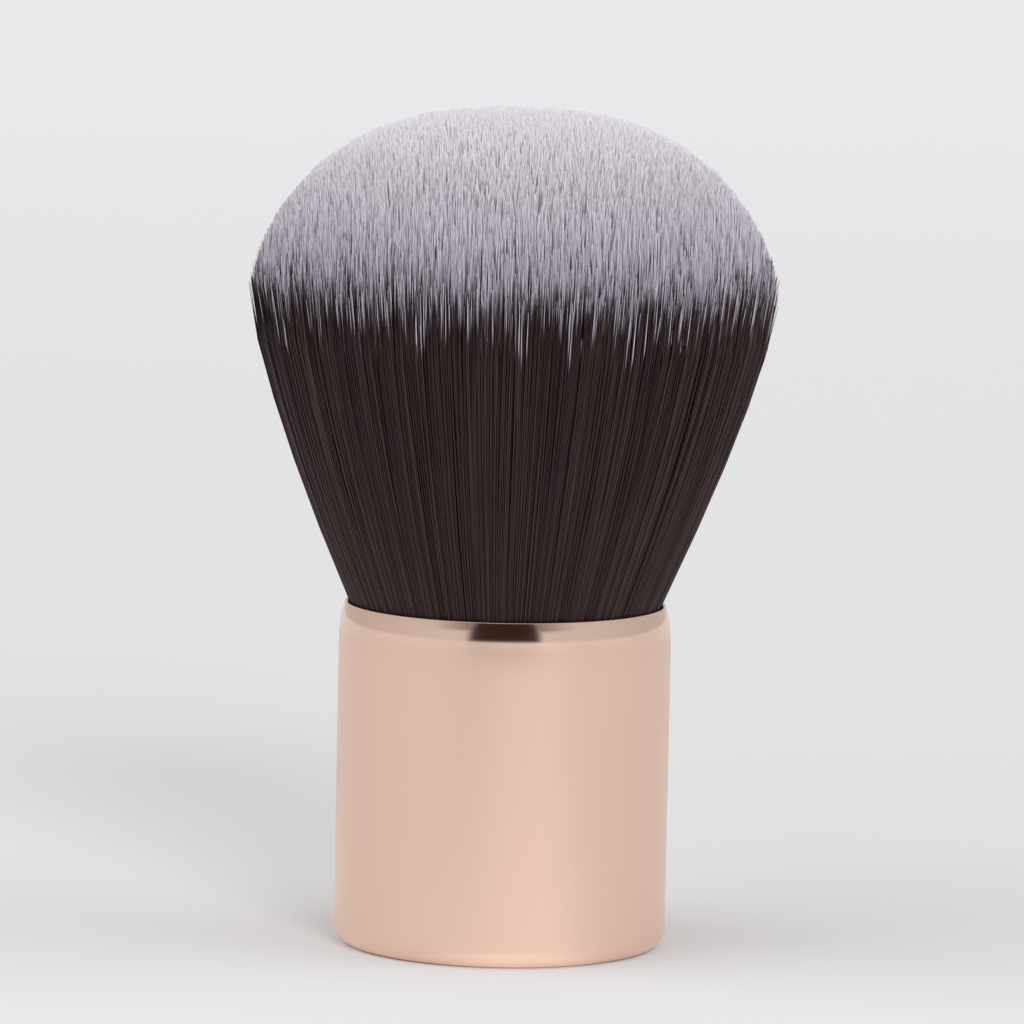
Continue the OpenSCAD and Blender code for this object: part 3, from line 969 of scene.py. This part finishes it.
    def mirrored_dark_patch(self, tree, parts, studio):
        """Painted reflection: how dark a patch of the surround in front is, with a wider band across it, soft
        at the edges. Only mirrors see it, and it gives the polished mouth its dark reflection.
        """
        turn = tree.math("ABSOLUTE", self.turn_right(tree, parts))
        height = tree.math("ARCSINE", parts["Z"])
        soft = math.radians(3)
        across = smooth_step(tree, turn, studio.dark_patch_turn + soft, studio.dark_patch_turn - soft)
        up = smooth_step(tree, height, studio.dark_patch_high + soft, studio.dark_patch_high - soft)
        block = tree.math("MULTIPLY", across, up)
        band_across = smooth_step(tree, turn, studio.dark_band_turn + soft, studio.dark_patch_turn)
        band_low, band_high = 0.45 * studio.dark_patch_high, 0.9 * studio.dark_patch_high
        band_up = tree.math(
            "MULTIPLY", smooth_step(tree, height, band_low - soft, band_low + soft),
            smooth_step(tree, height, band_high + soft, band_high - soft))
        band_darkness = 0.6
        band = tree.math("MULTIPLY", tree.math("MULTIPLY", band_across, band_up), band_darkness)
        above_floor = smooth_step(tree, height, -soft, soft)
        return tree.math("MULTIPLY", tree.math("MAXIMUM", block, band), above_floor)

    def camera(self, studio):
        lens = bpy.data.cameras.new("camera")
        lens.sensor_width = 36.0
        lens.lens = studio.lens
        lens.clip_start = 0.01
        lens.clip_end = 100.0
        camera = bpy.data.objects.new("camera", lens)
        elevation = studio.view_elevation
        backward = Vector((0, -math.cos(elevation), math.sin(elevation)))
        level = Vector((1, 0, 0))
        above = backward.cross(level)
        right = math.cos(studio.view_roll) * level + math.sin(studio.view_roll) * above
        up = backward.cross(right)
        aim = Vector((studio.view_side, 0, studio.view_height))
        turn = Matrix((right, up, backward)).transposed().to_4x4()
        camera.matrix_world = Matrix.Translation(aim + studio.view_distance * backward) @ turn
        bpy.context.scene.collection.objects.link(camera)
        bpy.context.scene.camera = camera


class KABUKI_PT_panel(bpy.types.Panel):
    """Kabuki brush panel in the sidebar"""
    bl_idname = "KABUKI_PT_panel"
    bl_label = "Kabuki brush"
    bl_space_type = "VIEW_3D"
    bl_region_type = "UI"
    bl_category = "Kabuki brush"

    def draw(self, context):
        scene = context.scene
        for owner, operator in (
            (scene.kabuki_barrel, "kabuki.barrel"),
            (scene.kabuki_bristles, "kabuki.bristles"),
            (None, "kabuki.inner_parts"),
            (scene.kabuki_studio, "kabuki.studio"),
        ):
            box = self.layout.box()
            if owner is not None:
                for name in owner.__annotations__:
                    box.prop(owner, name)
            box.operator(operator)


CLASSES = (
    BarrelSettings, BristleSettings, StudioSettings,
    KABUKI_OT_barrel, KABUKI_OT_bristles, KABUKI_OT_inner_parts, KABUKI_OT_studio, KABUKI_PT_panel,
)


def register():
    for cls in CLASSES:
        bpy.utils.register_class(cls)
    bpy.types.Scene.kabuki_barrel = bpy.props.PointerProperty(type=BarrelSettings)
    bpy.types.Scene.kabuki_bristles = bpy.props.PointerProperty(type=BristleSettings)
    bpy.types.Scene.kabuki_studio = bpy.props.PointerProperty(type=StudioSettings)


def unregister():
    del bpy.types.Scene.kabuki_studio
    del bpy.types.Scene.kabuki_bristles
    del bpy.types.Scene.kabuki_barrel
    for cls in reversed(CLASSES):
        bpy.utils.unregister_class(cls)


def main():
    register()
    bpy.ops.kabuki.studio()
    bpy.ops.kabuki.barrel()
    bpy.ops.kabuki.bristles()
    bpy.ops.kabuki.inner_parts()


if __name__ == "__main__":
    main()
